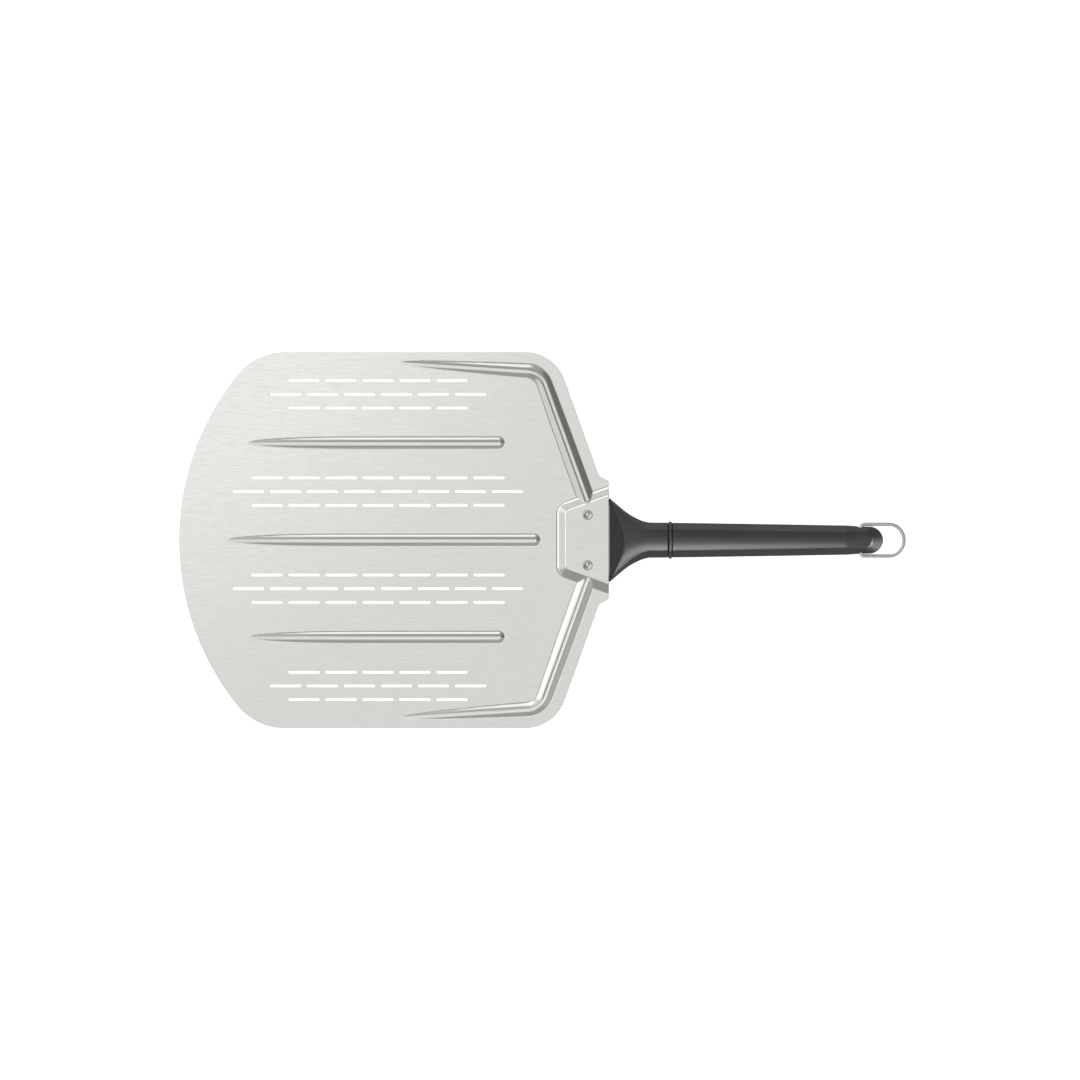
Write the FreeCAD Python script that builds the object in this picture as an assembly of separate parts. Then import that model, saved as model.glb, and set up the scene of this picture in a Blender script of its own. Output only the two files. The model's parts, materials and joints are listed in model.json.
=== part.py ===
import FreeCAD, Part
import math
import os

# Pizza peel: a slotted, ribbed steel blade on a moulded handle with a wire hanging loop.
# Millimetres. X runs from the blade's front edge to the hanging loop, Y across, Z up.
# The origin is the centre of the footprint, on the surface that the peel lies on.

os.makedirs("parts", exist_ok=True)
Vec = FreeCAD.Vector
UP = Vec(0, 0, 1)
ACROSS = Vec(0, 1, 0)
ALONG = Vec(1, 0, 0)

# Blade: sheet and outline. Each outline corner is (x, y, corner radius) on the +Y side.
SHEET = 1.0
FRONT_X = -318.7
REAR_X = 58.3
HALF_WIDTH = 165.0
FRONT_RADIUS = 231.5
FRONT_CORNER_RADIUS = 53.8
REAR_CORNER = (10.8, HALF_WIDTH, 36.9)
SHOULDER = (49.8, 56.5, 3.5)
EAR = (REAR_X, 51.9, 2.2)

# Slots: two panels on each side of the centre rib, each of three staggered rows.
SLOT_LENGTH = 27.6
SLOT_WIDTH = 2.45
SLOT_PITCH = 32.46
SLOT_CENTRE_X = -144.3
ROW_STEP = 12.0
SLOT_PANELS = ((42.6, 8), (127.9, 6))

# Straight ribs: raised beads that run out gently towards the front of the blade.
RIB_WIDTH = 12.0
RIB_RISE = 2.7
RIB_TAPER = 96.5
RIBS = ((0.0, -273.1, -1.0), (85.2, -256.5, -32.3), (-85.2, -256.5, -32.3))

# Corner ribs: from the blade's side, round the rear corner and up the side of the housing.
CORNER_RIB_WIDTH = 16.4
CORNER_RIB_RISE = 4.1
CORNER_RIB_TAPER = 215.0
CORNER_RIB_TIP = (-121.4, 155.6)
CORNER_RIB_BEND = (-1.7, 147.6)
CORNER_RIB_BEND_RADIUS = 17.5
CORNER_RIB_END = (41.4, 28.5)
CORNER_RIB_SPACING = {"Part::GeomLine": 18.0, "Part::GeomCircle": 4.0}

# Housing: the raised pocket for the handle, open to the rear. Foot and roof outlines.
HOUSING_RISE = 4.8
HOUSING_LINE_X = 24.2
HOUSING_FOOT = {"left": 12.4, "corner": 9.6, "front_y": 35.2, "rear_y": 46.9}
HOUSING_ROOF = {"left": 21.1, "corner": 5.8, "front_y": 26.0, "rear_y": 38.5}

# Rivets through the roof, the tang and the neck's tongue.
RIVET_X = 39.7
RIVET_Y = 22.06
RIVET_HEAD_RADIUS = 4.15
RIVET_SHANK_RADIUS = 2.0
RIVET_DISH_RADIUS = 6.0
RIVET_DISH_DEPTH = 0.45
RIVET_TAIL_RADIUS = 3.0
RIVET_TAIL_Z = 0.1
WASHER_RADIUS = 4.3
WASHER_THICKNESS = 0.8
WASHER_RECESS = 1.5
FIT_GAP = 0.05

# Tang: a flat bar with a wide head, joggled up to the middle of the grip.
TANG_THICKNESS = 2.0
TANG_BASE_Z = 2.75
TANG_WIDTH = 14.0
TANG_JOGGLE = (70.0, 92.0)
TANG_GRIP_Z = 11.5
TANG_END_X = 250.0
TANG_SHOULDER_X = 52.3
TANG_SHOULDER_HALF_WIDTH = 30.0
TANG_SHOULDER_END_X = 60.3
TANG_NECK_IN_X = 68.0
TANG_SCREW_GAP = 0.3
TANG_HEAD_GAP = 0.4
TONGUE_TOP_Z = 2.65
TONGUE_GAP = 0.4
TONGUE_HALF_WIDTH = 36.5
MOULD_GAP = 0.1

# Handle sections: x, half width, half width of the top face, crest z, z of the face's edge,
# z of the widest line, half width of the underside, z of the underside's edge, underside z.
NECK_START_X = 58.8
NECK_END_X = 109.7
GRIP_START_X = 114.1
CAP_START_X = 267.0
NECK_SECTIONS = (
    (NECK_START_X, 36.9, 34.5, 14.0, 7.6, 2.6, 35.6, 0.15, 0.0),
    (66.3, 30.6, 27.9, 16.5, 10.2, 4.4, 28.9, 0.4, 0.1),
    (73.3, 24.8, 21.8, 18.6, 13.4, 6.6, 22.4, 0.9, 0.3),
    (82.1, 19.4, 15.0, 20.9, 17.2, 9.2, 15.6, 1.7, 0.6),
    (92.6, 15.6, 9.9, 22.9, 20.9, 11.6, 10.4, 2.5, 0.9),
    (NECK_END_X, 15.4, 9.7, 24.0, 22.3, 12.4, 9.8, 2.7, 1.0),
)
RING_SECTION = (16.5, 10.4, 25.0, 23.2, 12.4, 10.4, 1.8, 0.0)
GRIP_SECTIONS = (
    (GRIP_START_X, 15.3, 9.6, 24.0, 22.3, 12.4, 9.7, 2.7, 1.0),
    (190.9, 14.2, 8.6, 23.2, 21.6, 12.0, 8.8, 2.6, 1.0),
    (CAP_START_X, 12.9, 7.4, 22.2, 20.8, 11.6, 7.8, 2.5, 1.0),
)
SIDE_ROUNDING = (0.7, 1.9)
RISER_ANGLE = 50.0
RISER_BASE_Z = SHEET + HOUSING_RISE
RING_RIM_ROUNDING = 1.1

# End cap of the grip, which carries the hanging loop.
CAP_HALF_WIDTH = 12.15
CAP_STRAIGHT_X = 280.0
NOSE_CENTRE_X = 286.3
CAP_SLOPE_END = (284.0, 18.6)
CAP_UNDERSIDE_Z = 1.3
CAP_TIP_Z = 10.8
CAP_UPPER_NOSE = (294.85, 15.4)
CAP_LOWER_NOSE = (294.55, 5.3)
CAP_SPIGOT = (12.0, 17.0, 13.0)
SPIGOT_BASE_Z = 5.0

# Hanging loop: bent wire whose two ends turn in the cap. It droops to the resting surface.
WIRE_RADIUS = 1.5
PIVOT_X = 278.6
PIVOT_Z = 11.5
LOOP_TIP_X = 317.2
LOOP_HALF_WIDTH = 13.9
LOOP_BEND_RADIUS = 3.5
LOOP_END_Y = 6.0
BORE_GAP = 0.05
BORE_END_GAP = 0.3
BORE_LENGTH = 10.0
MOUTH_RADIUS = 3.3
MOUTH_DEPTH = 2.0

# Screws from the underside: one through the grip and tang, one into the cap's spigot.
SCREW_X = (150.0, 261.0)
SCREW_TOP_Z = (19.0, 14.0)
SCREW_RADIUS = 1.7
SCREW_HEAD_RADIUS = 3.1
SCREW_HEAD_HEIGHT = 2.0
SCREW_HEAD_Z = 2.6
DRIVE_SLOT = (3.8, 1.0, 1.1)


def tangent_arc(before, corner, after, radius):
    """The rounding at a corner: its start, middle and end points."""
    to_before = (before - corner).normalize()
    to_after = (after - corner).normalize()
    half = to_before.getAngle(to_after) / 2
    reach = radius / math.tan(half)
    middle_reach = radius / math.sin(half) - radius
    bisector = (to_before + to_after).normalize()
    return corner + to_before * reach, corner + bisector * middle_reach, corner + to_after * reach


def rounded_edges(points, radii):
    """Edges of an open polyline whose inner corners are rounded. radii has one per inner point."""
    edges = []
    start = points[0]
    for i, radius in enumerate(radii, 1):
        first, middle, last = tangent_arc(points[i - 1], points[i], points[i + 1], radius)
        edges.append(Part.LineSegment(start, first).toShape())
        edges.append(Part.Arc(first, middle, last).toShape())
        start = last
    edges.append(Part.LineSegment(start, points[-1]).toShape())
    return edges


def mirrored(shape):
    return shape.mirror(Vec(0, 0, 0), ACROSS)


def slab(points, direction):
    """Prism of a closed polygon."""
    return Part.Face(Part.makePolygon(points + points[:1])).extrude(direction)


def upright(x, y, z, radius, height):
    return Part.makeCylinder(radius, height, Vec(x, y, z), UP)


def blade_outline():
    front_centre = Vec(FRONT_X + FRONT_RADIUS, 0, 0)
    corner_y = HALF_WIDTH - FRONT_CORNER_RADIUS
    reach = math.sqrt((FRONT_RADIUS - FRONT_CORNER_RADIUS) ** 2 - corner_y**2)
    corner_centre = Vec(front_centre.x - reach, corner_y, 0)
    outward = (corner_centre - front_centre).normalize()
    join = corner_centre + outward * FRONT_CORNER_RADIUS
    corner_middle = corner_centre + (outward + ACROSS).normalize() * FRONT_CORNER_RADIUS
    side_start = Vec(corner_centre.x, HALF_WIDTH, 0)
    corners = [Vec(x, y, 0) for x, y, _ in (REAR_CORNER, SHOULDER, EAR)]
    radii = [radius for _, _, radius in (REAR_CORNER, SHOULDER, EAR)]
    side = [Part.Arc(join, corner_middle, side_start).toShape()]
    side += rounded_edges([side_start] + corners + [Vec(REAR_X, 0, 0)], radii)
    front = Part.Arc(Vec(join.x, -join.y, 0), Vec(FRONT_X, 0, 0), join).toShape()
    return Part.Wire(Part.__sortEdges__([front] + side + [mirrored(edge) for edge in side]))


def slot(x, y):
    half_run = (SLOT_LENGTH - SLOT_WIDTH) / 2
    radius = SLOT_WIDTH / 2
    body = Part.makeBox(2 * half_run, SLOT_WIDTH, 3 * SHEET, Vec(x - half_run, y - radius, -SHEET))
    ends = [upright(x + side * half_run, y, -SHEET, radius, 3 * SHEET) for side in (-1, 1)]
    return body.fuse(ends).removeSplitter()


def slots():
    """Every slot of the four panels. The outer rows of a panel have one slot fewer."""
    cutters = []
    for panel_y, count in SLOT_PANELS:
        for row in (-1, 0, 1):
            in_row = count - abs(row)
            first_x = SLOT_CENTRE_X - (in_row - 1) * SLOT_PITCH / 2
            for i in range(in_row):
                for side in (-1, 1):
                    cutters.append(slot(first_x + i * SLOT_PITCH, side * (panel_y + row * ROW_STEP)))
    return cutters


def arc_radius(chord, rise):
    return (chord**2 / 4 + rise**2) / (2 * rise)


def above_table(shape):
    length, width, height = 900, 500, 50
    return shape.common(Part.makeBox(length, width, height, Vec(-length / 2, -width / 2, 0)))


def straight_bead(y, start_x, end_x, radius):
    """Round bar along X with a ball end at the rear, dipping out of sight towards the front."""
    full_radius = arc_radius(RIB_WIDTH, RIB_RISE)
    axis_z = SHEET + RIB_RISE - full_radius
    level_x = start_x + RIB_TAPER
    ball_x = end_x - RIB_WIDTH / 2
    bar = Part.makeCylinder(radius, ball_x - level_x, Vec(level_x, y, axis_z), ALONG)
    ball = Part.makeSphere(radius, Vec(ball_x, y, axis_z))
    dip_radius = arc_radius(2 * RIB_TAPER, RIB_RISE)
    hub = Vec(level_x, y, axis_z + full_radius - dip_radius)
    disc = Part.Face(Part.Wire(Part.makeCircle(radius, Vec(level_x, y, axis_z), ALONG)))
    dip_angle = math.degrees(math.asin(RIB_TAPER / dip_radius))
    dip = disc.revolve(hub, ACROSS, -1.1 * dip_angle)
    return above_table(bar.fuse([ball, dip]))


def corner_bead_path():
    """Centre line of the +Y corner rib's crest in plan."""
    points = [Vec(x, y, 0) for x, y in (CORNER_RIB_TIP, CORNER_RIB_BEND, CORNER_RIB_END)]
    return Part.Wire(rounded_edges(points, [CORNER_RIB_BEND_RADIUS]))


def bead_section(point, along, crest, radius, base_z):
    """Segment of a circle that stands across the rib's path, with its flat side at base_z."""
    half = math.sqrt(radius**2 - (radius - crest + base_z) ** 2)
    side = Vec(-along.y, along.x, 0) * half
    left = Vec(point.x, point.y, base_z) - side
    right = Vec(point.x, point.y, base_z) + side
    arc = Part.Arc(left, Vec(point.x, point.y, crest), right)
    return Part.Wire([arc.toShape(), Part.LineSegment(right, left).toShape()])


def corner_bead(inset, base_z):
    """Form of the +Y corner rib, drawn in by inset. It rises along its path until the taper ends."""
    radius = arc_radius(CORNER_RIB_WIDTH, CORNER_RIB_RISE) - inset
    sections = []
    travelled = 0.0
    for edge in corner_bead_path().Edges:
        steps = math.ceil(edge.Length / CORNER_RIB_SPACING[edge.Curve.TypeId])
        for i in range(steps + 1):
            place = edge.FirstParameter + (edge.LastParameter - edge.FirstParameter) * i / steps
            short = max(0.0, 1 - (travelled + edge.Length * i / steps) / CORNER_RIB_TAPER)
            crest = SHEET + CORNER_RIB_RISE * (1 - short**2) - inset
            if i or not sections:
                point, along = edge.valueAt(place), edge.tangentAt(place)
                sections.append(bead_section(point, along, crest, radius, base_z))
        travelled += edge.Length
    return Part.makeLoft(sections, True, True)


def housing_outline(share, z, gap, rear_x):
    """Outline of the housing, share 0 at its foot and 1 at its roof, drawn in by gap."""
    mix = {k: HOUSING_FOOT[k] + share * (HOUSING_ROOF[k] - HOUSING_FOOT[k]) for k in HOUSING_FOOT}
    slope = (mix["rear_y"] - mix["front_y"]) / (REAR_X - HOUSING_LINE_X)
    left = mix["left"] + gap

    def side_y(x):
        return mix["front_y"] - gap + slope * (x - HOUSING_LINE_X)

    rear = Vec(rear_x, side_y(rear_x), z)
    front = Vec(left, side_y(left), z)
    points = [rear, front, Vec(left, -front.y, z), Vec(rear_x, -rear.y, z)]
    edges = rounded_edges(points, [mix["corner"], mix["corner"]])
    edges.append(Part.LineSegment(points[-1], points[0]).toShape())
    return Part.Wire(edges)


def housing_block(low_z, high_z, base_z, gap, rear_x):
    """The part of the housing's form from low_z to high_z, when its foot is at base_z."""
    outlines = []
    for z in (low_z, high_z):
        share = (z - base_z) / HOUSING_RISE
        outlines.append(housing_outline(share, z, gap, rear_x))
    return Part.makeLoft(outlines, True, True)


def rivet_sites():
    return [(RIVET_X, RIVET_Y), (RIVET_X, -RIVET_Y)]


def countersink(x, y, gap):
    """Cone of a rivet's head, its wide end level with the roof."""
    roof_z = SHEET + HOUSING_RISE
    depth = SHEET + gap
    base = Vec(x, y, roof_z - depth)
    return Part.makeCone(RIVET_SHANK_RADIUS + gap, RIVET_HEAD_RADIUS + gap, depth, base, UP)


def blade():
    """Stamped sheet: every bead and the housing are raised by the same thickness of metal."""
    outer = [Part.Face(blade_outline()).extrude(UP * SHEET)]
    inner = []
    rib_radius = arc_radius(RIB_WIDTH, RIB_RISE)
    for y, start_x, end_x in RIBS:
        outer.append(straight_bead(y, start_x, end_x, rib_radius))
        inner.append(straight_bead(y, start_x, end_x, rib_radius - SHEET))
    for form, inset, base_z in ((outer, 0, SHEET / 3), (inner, SHEET, -SHEET / 2)):
        bead = corner_bead(inset, base_z)
        form.append(bead)
        form.append(mirrored(bead))
    top = SHEET + HOUSING_RISE
    outer.append(housing_block(SHEET, top, SHEET, 0, REAR_X))
    inner.append(housing_block(-SHEET / 2, HOUSING_RISE, 0, 0, REAR_X + SHEET))
    formed = outer[0].fuse(outer[1:]).cut(inner)
    holes = [upright(x, y, 0, RIVET_SHANK_RADIUS + FIT_GAP, 2 * top) for x, y in rivet_sites()]
    holes += [countersink(x, y, FIT_GAP) for x, y in rivet_sites()]
    return formed.cut(slots() + holes)


def tang_bar(gap):
    """Bar of the tang: level in the neck's front, joggled up, then level in the grip."""
    thickness = TANG_THICKNESS + 2 * gap
    low = TANG_BASE_Z - gap
    half_width = TANG_WIDTH / 2 + gap
    joggle_start, joggle_end = TANG_JOGGLE
    end_x = TANG_END_X + gap
    rise = TANG_GRIP_Z - TANG_BASE_Z
    miter = math.tan(math.atan2(rise, joggle_end - joggle_start) / 2)
    under = gap * miter
    over = (TANG_THICKNESS + gap) * miter
    lower = [(TANG_SHOULDER_X, low), (joggle_start + under, low)]
    lower += [(joggle_end + under, low + rise), (end_x, low + rise)]
    upper = [(x - under - over, z + thickness) for x, z in lower[1:3]]
    upper = [(TANG_SHOULDER_X, low + thickness)] + upper + [(end_x, low + rise + thickness)]
    outline = [Vec(x, -half_width, z) for x, z in lower + upper[::-1]]
    return slab(outline, ACROSS * (2 * half_width))


def tang(gap):
    """Head in the housing, tapered shoulders and joggled bar, grown by gap on every side."""
    low = TANG_BASE_Z - gap
    high = TANG_BASE_Z + TANG_THICKNESS + gap
    head = housing_block(low, high, 0, TANG_HEAD_GAP - gap, REAR_X)
    wide = TANG_SHOULDER_HALF_WIDTH + gap
    narrow = TANG_WIDTH / 2 + gap
    side = [(TANG_SHOULDER_X, wide), (TANG_SHOULDER_END_X, wide), (TANG_NECK_IN_X, narrow)]
    outline = [Vec(x, y, low) for x, y in side] + [Vec(x, -y, low) for x, y in side[::-1]]
    shoulders = slab(outline, UP * (high - low))
    return head.fuse([shoulders, tang_bar(gap)]).removeSplitter()


def drilled_tang():
    above = TANG_GRIP_Z + 2 * TANG_THICKNESS
    holes = [upright(x, y, 0, RIVET_SHANK_RADIUS + FIT_GAP, above) for x, y in rivet_sites()]
    holes.append(upright(SCREW_X[0], 0, 0, SCREW_RADIUS + TANG_SCREW_GAP, above))
    return tang(0).cut(holes)


def section(x, half, face, crest, edge, side, under, under_edge, bottom):
    """Closed section of the handle: crowned faces, flat side facets and rounded flanks."""
    inset, reach = SIDE_ROUNDING
    reach = min(reach, (side - under_edge) * 0.6)

    def at(y, z):
        return Vec(x, y, z)

    right = [
        Part.LineSegment(at(face, edge), at(half - inset, side + reach)),
        Part.Arc(at(half - inset, side + reach), at(half, side), at(half - inset, side - reach)),
        Part.LineSegment(at(half - inset, side - reach), at(under, under_edge)),
    ]
    left = [
        Part.LineSegment(at(-under, under_edge), at(inset - half, side - reach)),
        Part.Arc(at(inset - half, side - reach), at(-half, side), at(inset - half, side + reach)),
        Part.LineSegment(at(inset - half, side + reach), at(-face, edge)),
    ]
    top = Part.Arc(at(-face, edge), at(0, crest), at(face, edge))
    base = Part.Arc(at(under, under_edge), at(0, bottom), at(-under, under_edge))
    return Part.Wire([curve.toShape() for curve in [top] + right + [base] + left])


def handle_loft(sections):
    return Part.makeLoft([section(*values) for values in sections], True, False)


def riser_cut():
    """Everything above the sloping front face that rises from the housing's roof."""
    run = 30.0
    margin = 5.0
    top_z = 60.0
    half_span = 60.0
    rise = run * math.tan(math.radians(RISER_ANGLE))
    start_x = NECK_START_X - margin
    profile = [(start_x, RISER_BASE_Z), (NECK_START_X, RISER_BASE_Z)]
    profile += [(NECK_START_X + run, RISER_BASE_Z + rise), (start_x, top_z)]
    return slab([Vec(x, -half_span, z) for x, z in profile], ACROSS * (2 * half_span))


def neck():
    """Flared neck, with a tongue that fills the housing under the tang."""
    body = handle_loft(NECK_SECTIONS).cut(riser_cut())
    tongue = housing_block(0, TONGUE_TOP_Z, 0, TONGUE_GAP, NECK_START_X + 1)
    room = Part.makeBox(NECK_END_X, 2 * TONGUE_HALF_WIDTH, NECK_END_X, Vec(0, -TONGUE_HALF_WIDTH, 0))
    tongue = tongue.common(room)
    holes = []
    for x, y in rivet_sites():
        holes.append(upright(x, y, 0, RIVET_SHANK_RADIUS + FIT_GAP, RISER_BASE_Z))
        holes.append(upright(x, y, 0, WASHER_RADIUS + MOULD_GAP, WASHER_RECESS))
    return body.fuse(tongue).cut([tang(MOULD_GAP)] + holes)


def joint_ring():
    """Raised ring between the neck and the grip."""
    width = GRIP_START_X - NECK_END_X
    half_gap = 0.05
    blank = section(NECK_END_X + half_gap, *RING_SECTION)
    ring = Part.Face(blank).extrude(ALONG * (width - 2 * half_gap))
    rims = [e for e in ring.Edges if e.BoundBox.XLength < 0.01]
    return ring.makeFillet(RING_RIM_ROUNDING, rims).cut(tang(MOULD_GAP))


def spigot(gap):
    length, width, height = CAP_SPIGOT
    corner = Vec(CAP_START_X - length - gap, -width / 2 - gap, SPIGOT_BASE_Z - gap)
    return Part.makeBox(length + gap + 1, width + 2 * gap, height + 2 * gap, corner)


def screw_hole(x, top_z):
    shank = upright(x, 0, 0, SCREW_RADIUS + FIT_GAP, top_z + FIT_GAP)
    head = upright(x, 0, -1, SCREW_HEAD_RADIUS + MOULD_GAP, SCREW_HEAD_Z + SCREW_HEAD_HEIGHT + 1)
    return shank.fuse(head)


def screw_holes():
    return [screw_hole(x, z) for x, z in zip(SCREW_X, SCREW_TOP_Z)]


def grip():
    body = handle_loft(GRIP_SECTIONS)
    return body.cut([tang(MOULD_GAP), spigot(MOULD_GAP)] + screw_holes())


def cap_plan():
    """Plan of the end cap: nearly parallel sides and a round nose."""
    start_half = GRIP_SECTIONS[-1][1] + 1
    last_x = NOSE_CENTRE_X + CAP_HALF_WIDTH
    corners = [Vec(CAP_START_X, start_half, 0), Vec(CAP_STRAIGHT_X - 8, CAP_HALF_WIDTH + 0.5, 0)]
    corners += [Vec(CAP_STRAIGHT_X, CAP_HALF_WIDTH, 0), Vec(NOSE_CENTRE_X, CAP_HALF_WIDTH, 0)]
    half = [Part.LineSegment(a, b).toShape() for a, b in zip(corners, corners[1:])]
    nose = Part.Arc(corners[-1], Vec(last_x, 0, 0), Vec(NOSE_CENTRE_X, -CAP_HALF_WIDTH, 0)).toShape()
    back = Part.LineSegment(Vec(CAP_START_X, -start_half, 0), corners[0]).toShape()
    edges = half + [nose] + [mirrored(edge) for edge in half] + [back]
    return Part.Face(Part.Wire(Part.__sortEdges__(edges))).extrude(UP * 40)


def cap_profile():
    """Side view of the end cap: the top slopes down and both faces turn into the nose."""
    crest = GRIP_SECTIONS[-1][3] + 0.5
    slope_x, slope_z = CAP_SLOPE_END
    tip_x = NOSE_CENTRE_X + CAP_HALF_WIDTH
    start = Vec(CAP_START_X, 0, crest)
    slope_end = Vec(slope_x, 0, slope_z)
    tip = Vec(tip_x, 0, CAP_TIP_Z)
    under = Vec(slope_x, 0, CAP_UNDERSIDE_Z)
    base = Vec(CAP_START_X, 0, 0)
    edges = [
        Part.LineSegment(start, slope_end),
        Part.Arc(slope_end, Vec(CAP_UPPER_NOSE[0], 0, CAP_UPPER_NOSE[1]), tip),
        Part.Arc(tip, Vec(CAP_LOWER_NOSE[0], 0, CAP_LOWER_NOSE[1]), under),
        Part.LineSegment(under, base),
        Part.LineSegment(base, start),
    ]
    face = Part.Face(Part.Wire([edge.toShape() for edge in edges]))
    face.translate(ACROSS * -20)
    return face.extrude(ACROSS * 40)


def loop_bores():
    """Bores for the wire's ends, with mouths that clear its bends at every angle."""
    cutters = []
    for side in (-1, 1):
        outward = ACROSS * side
        start = Vec(PIVOT_X, side * (LOOP_END_Y - BORE_END_GAP), PIVOT_Z)
        cutters.append(Part.makeCylinder(WIRE_RADIUS + BORE_GAP, BORE_LENGTH, start, outward))
        mouth_start = LOOP_HALF_WIDTH - LOOP_BEND_RADIUS
        mouth = Vec(PIVOT_X, side * mouth_start, PIVOT_Z)
        cutters.append(Part.makeCone(WIRE_RADIUS + BORE_GAP, MOUTH_RADIUS, MOUTH_DEPTH, mouth, outward))
    return cutters


def end_cap():
    start = Part.Face(section(*GRIP_SECTIONS[-1]))
    blank = start.extrude(ALONG * 40)
    body = blank.common(cap_plan()).common(cap_profile())
    return body.fuse(spigot(0)).cut(loop_bores() + screw_holes())


def hanging_loop():
    """Wire loop, bent flat, then drooped about the pivot until it rests on the surface."""
    reach = LOOP_TIP_X - PIVOT_X
    drop = PIVOT_Z - WIRE_RADIUS
    length = math.hypot(reach, drop)
    leg = length - LOOP_HALF_WIDTH
    bend_y = LOOP_HALF_WIDTH - LOOP_BEND_RADIUS
    slant = LOOP_BEND_RADIUS * (1 - math.sqrt(0.5))
    end = Vec(0, LOOP_END_Y, 0)
    bend_start = Vec(0, bend_y, 0)
    bend_middle = Vec(slant, LOOP_HALF_WIDTH - slant, 0)
    bend_end = Vec(LOOP_BEND_RADIUS, LOOP_HALF_WIDTH, 0)
    bow_start = Vec(leg, LOOP_HALF_WIDTH, 0)
    half = [
        Part.LineSegment(end, bend_start).toShape(),
        Part.Arc(bend_start, bend_middle, bend_end).toShape(),
        Part.LineSegment(bend_end, bow_start).toShape(),
    ]
    bow = Part.Arc(bow_start, Vec(length, 0, 0), Vec(leg, -LOOP_HALF_WIDTH, 0)).toShape()
    other = [mirrored(edge) for edge in half]
    path = Part.Wire(Part.__sortEdges__(half + [bow] + other))
    disc = Part.Wire(Part.makeCircle(WIRE_RADIUS, end, ACROSS))
    wire = path.makePipeShell([disc], True, False)
    wire.rotate(Vec(0, 0, 0), ACROSS, math.degrees(math.atan2(drop, reach)))
    wire.translate(Vec(PIVOT_X, 0, PIVOT_Z))
    return wire


def blade_rivets():
    """Countersunk rivets with a dished head, upset over a washer at the underside."""
    roof_z = SHEET + HOUSING_RISE
    base_z = WASHER_RECESS - WASHER_THICKNESS
    rivets = []
    for x, y in rivet_sites():
        head = countersink(x, y, 0)
        shank = upright(x, y, base_z, RIVET_SHANK_RADIUS, roof_z - base_z)
        tail = upright(x, y, RIVET_TAIL_Z, RIVET_TAIL_RADIUS, base_z - RIVET_TAIL_Z)
        dish_z = roof_z + RIVET_DISH_RADIUS - RIVET_DISH_DEPTH
        dish = Part.makeSphere(RIVET_DISH_RADIUS, Vec(x, y, dish_z))
        rivets.append(head.fuse([shank, tail]).cut(dish).removeSplitter())
    return Part.makeCompound(rivets)


def rivet_washers():
    washers = []
    for x, y in rivet_sites():
        base_z = WASHER_RECESS - WASHER_THICKNESS
        disc = upright(x, y, base_z, WASHER_RADIUS, WASHER_THICKNESS)
        washers.append(disc.cut(upright(x, y, 0, RIVET_SHANK_RADIUS + FIT_GAP, WASHER_RECESS)))
    return Part.makeCompound(washers)


def grip_screws():
    screws = []
    slot_length, slot_width, slot_depth = DRIVE_SLOT
    for x, top_z in zip(SCREW_X, SCREW_TOP_Z):
        shank = upright(x, 0, SCREW_HEAD_Z, SCREW_RADIUS, top_z - SCREW_HEAD_Z)
        head = upright(x, 0, SCREW_HEAD_Z, SCREW_HEAD_RADIUS, SCREW_HEAD_HEIGHT)
        corner = Vec(x - slot_length / 2, -slot_width / 2, SCREW_HEAD_Z)
        drive = Part.makeBox(slot_length, slot_width, slot_depth, corner)
        screws.append(shank.fuse(head).cut(drive))
    return Part.makeCompound(screws)


PIECES = {
    "blade": blade(),
    "tang": drilled_tang(),
    "blade_rivets": blade_rivets(),
    "rivet_washers": rivet_washers(),
    "neck": neck(),
    "joint_ring": joint_ring(),
    "grip": grip(),
    "end_cap": end_cap(),
    "grip_screws": grip_screws(),
    "hanging_loop": hanging_loop(),
}

for name, shape in PIECES.items():
    shape.exportStep(f"parts/{name}.step")
    print(name, len(shape.Solids), shape.isValid(), round(shape.Volume, 1), shape.BoundBox)
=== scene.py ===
import json
import math

import bpy
import numpy as np
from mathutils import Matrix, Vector
from mathutils.geometry import delaunay_2d_cdt


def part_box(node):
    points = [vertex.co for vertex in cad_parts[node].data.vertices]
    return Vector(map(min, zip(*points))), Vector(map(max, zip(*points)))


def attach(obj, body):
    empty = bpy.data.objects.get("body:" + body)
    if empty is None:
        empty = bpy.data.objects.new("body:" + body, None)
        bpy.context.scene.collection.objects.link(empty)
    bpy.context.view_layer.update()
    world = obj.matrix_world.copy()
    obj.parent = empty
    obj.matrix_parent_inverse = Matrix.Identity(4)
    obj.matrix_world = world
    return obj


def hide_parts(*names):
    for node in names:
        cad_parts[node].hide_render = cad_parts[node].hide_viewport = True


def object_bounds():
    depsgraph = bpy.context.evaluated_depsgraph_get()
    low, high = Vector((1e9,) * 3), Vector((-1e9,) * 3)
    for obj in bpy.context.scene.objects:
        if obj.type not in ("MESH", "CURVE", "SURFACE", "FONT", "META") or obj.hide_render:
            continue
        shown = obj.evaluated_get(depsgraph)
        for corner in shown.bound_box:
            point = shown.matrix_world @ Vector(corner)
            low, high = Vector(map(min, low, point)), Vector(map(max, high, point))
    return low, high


# Pizza peel, looks. Metres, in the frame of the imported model: X from the blade's front edge
# to the hanging loop, Y across, Z up from the surface that the peel lies on.

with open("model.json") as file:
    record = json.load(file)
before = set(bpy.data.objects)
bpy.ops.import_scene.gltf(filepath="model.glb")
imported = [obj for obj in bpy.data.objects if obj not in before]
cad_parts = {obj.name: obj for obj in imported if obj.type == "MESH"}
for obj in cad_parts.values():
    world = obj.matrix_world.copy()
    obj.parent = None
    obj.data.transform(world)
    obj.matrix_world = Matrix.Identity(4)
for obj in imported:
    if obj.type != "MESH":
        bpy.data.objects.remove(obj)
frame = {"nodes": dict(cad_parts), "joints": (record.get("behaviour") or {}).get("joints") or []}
cad_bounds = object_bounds()

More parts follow.
